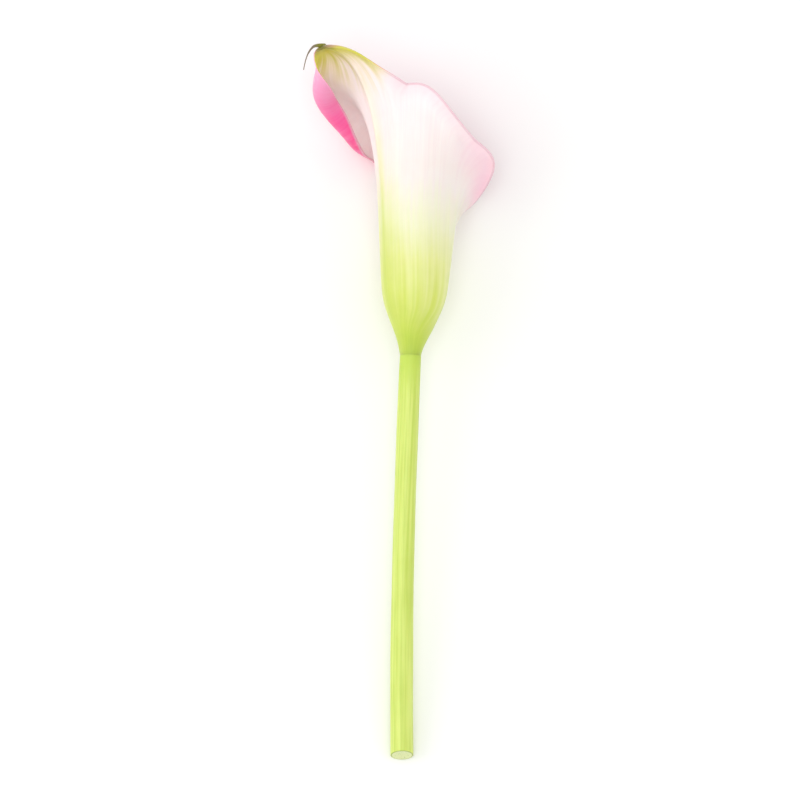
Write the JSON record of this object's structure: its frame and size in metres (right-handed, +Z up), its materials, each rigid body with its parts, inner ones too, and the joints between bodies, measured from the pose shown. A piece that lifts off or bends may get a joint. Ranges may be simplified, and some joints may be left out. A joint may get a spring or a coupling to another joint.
{
  "type": "arum lily flower",
  "caption": "Picked arum lily flower lying on its side: a pale pink spathe wrapped round a yellow spadix, rolled back on its far side to show magenta, on a pale green stem with a slanted cut.",
  "frame": {"origin": "on the surface that the flower lies on, under the middle of its bounding box", "axes": "+Z up from the surface, +Y from the cut end of the stem towards the bloom's tip, +X to the right seen from above with the bloom at the top"},
  "size_m": [0.0576, 0.2092, 0.0466],
  "materials": {
    "spathe": "satin, waxy skin, pale pink outside and magenta inside",
    "pistils": "satin, packed pale green beads",
    "pollen": "matt, powdery yellow grains",
    "stem": "satin, pale yellow green skin with fine lengthwise fibres"
  },
  "bodies": {
    "root": {"spathe": "spathe", "spadix_pistils": "pistils", "spadix_stamens": "pollen", "stem": "stem"}
  },
  "joints": []
}
